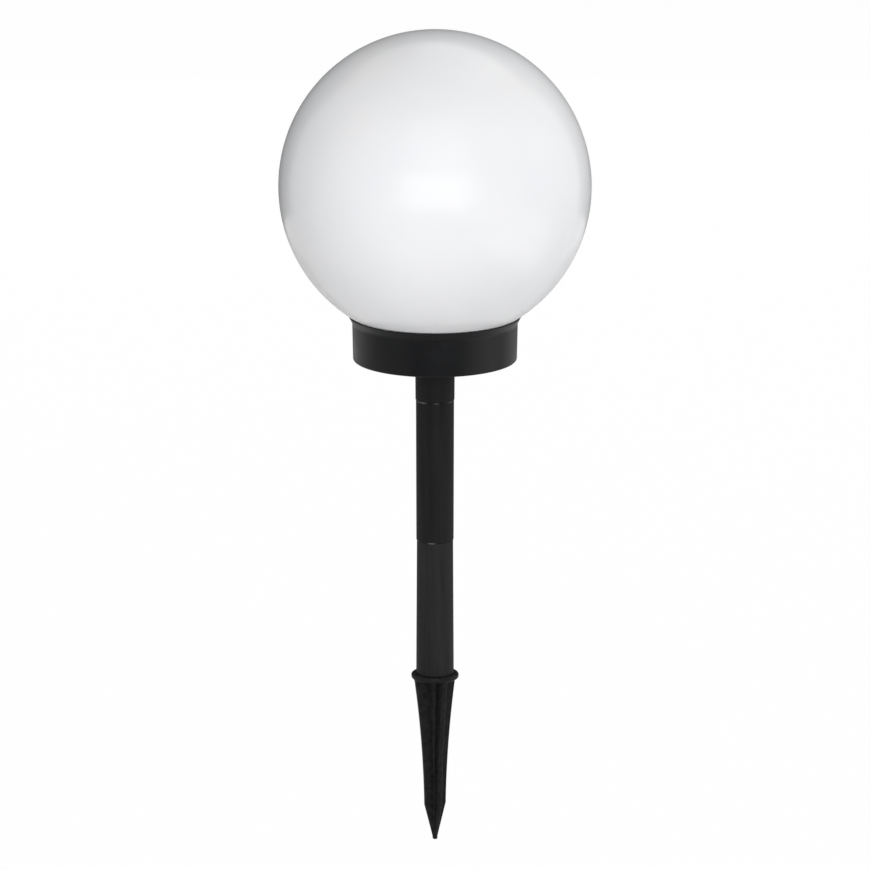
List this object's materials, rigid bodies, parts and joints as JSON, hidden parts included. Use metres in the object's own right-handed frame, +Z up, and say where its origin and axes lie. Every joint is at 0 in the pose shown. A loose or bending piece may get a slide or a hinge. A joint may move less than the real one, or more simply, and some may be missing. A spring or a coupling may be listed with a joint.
{
  "type": "solar garden lamp",
  "caption": "Solar garden lamp: opal globe on a low black base with panel, battery and LEDs inside, on a push-together pole with a bladed ground spike.",
  "frame": {"origin": "on the pole's axis at the ground line, the underside of the spike's collar", "axes": "+Z up along the pole, -Y towards the side that the picture shows"},
  "size_m": [0.2, 0.2, 0.5363],
  "materials": {
    "black_plastic": "moulded, fine satin texture",
    "opal_plastic": "milky white, glossy",
    "gasket_rubber": "soft, matt",
    "screw_steel": "zinc plated",
    "panel_board": "dark laminate",
    "solar_cell": "polycrystalline, deep blue",
    "clear_resin": "clear, glossy",
    "led_resin": "clear dome with a warm tint",
    "tinned_metal": "tinned, soft shine",
    "board_green": "solder mask",
    "chip_black": "moulded, matt",
    "choke_green": "lacquered",
    "capacitor_sleeve": "shrink sleeve",
    "knob_black": "moulded",
    "battery_sleeve": "shrink sleeve, glossy",
    "lead_red": "insulated wire",
    "lead_black": "insulated wire"
  },
  "bodies": {
    "spike": {"ground_spike": "black_plastic"},
    "lower_tube": {"lower_tube": "black_plastic"},
    "upper_tube": {"upper_tube": "black_plastic"},
    "coupler": {"pole_coupler": "black_plastic"},
    "gasket": {"globe_gasket": "gasket_rubber"},
    "globe": {"globe": "opal_plastic"},
    "switch": {"switch_knob": "knob_black"},
    "battery_cover": {"battery_cover": "black_plastic", "battery_cover_screws": "screw_steel"},
    "head": {"base_cup": "black_plastic", "deck_plate": "black_plastic", "deck_screws": "screw_steel", "solar_panel_board": "panel_board", "solar_cells": "solar_cell", "solar_panel_cover": "clear_resin", "led_lenses": "led_resin", "led_pins": "tinned_metal", "led_boards": "board_green", "circuit_board": "board_green", "board_screws": "screw_steel", "driver_chip": "chip_black", "inductor": "choke_green", "capacitor": "capacitor_sleeve", "switch_housing": "tinned_metal", "battery_cell": "battery_sleeve", "battery_contact_plate": "tinned_metal", "battery_spring_plate": "tinned_metal", "battery_spring": "tinned_metal", "panel_lead_red": "lead_red", "panel_lead_black": "lead_black", "battery_lead_red": "lead_red", "battery_lead_black": "lead_black", "led_leads_red": "lead_red", "led_leads_black": "lead_black"}
  },
  "joints": [
    {"name": "lower_tube_pull", "type": "slide", "parent": "spike", "child": "lower_tube", "axis": [0, 0, 1], "range_m": [0, 0.03]},
    {"name": "upper_tube_pull", "type": "slide", "parent": "lower_tube", "child": "upper_tube", "axis": [0, 0, 1], "range_m": [0, 0.03]},
    {"name": "coupler_pull", "type": "slide", "parent": "upper_tube", "child": "coupler", "axis": [0, 0, 1], "range_m": [0, 0.03]},
    {"name": "head_lift", "type": "slide", "parent": "coupler", "child": "head", "axis": [0, 0, 1], "range_m": [0, 0.03]},
    {"name": "globe_lift", "type": "slide", "parent": "head", "child": "gasket", "axis": [0, 0, 1], "range_m": [0, 0.06]},
    {"name": "globe_twist", "type": "hinge", "parent": "gasket", "child": "globe", "pos_m": [0, 0, 0.2402], "axis": [0, 0, 1], "range_deg": [0, 45]},
    {"name": "switch_slide", "type": "slide", "parent": "head", "child": "switch", "axis": [1, 0, 0], "range_m": [0, 0.004]},
    {"name": "battery_cover_lift", "type": "slide", "parent": "head", "child": "battery_cover", "axis": [0, 0, 1], "range_m": [0, 0.02]}
  ]
}
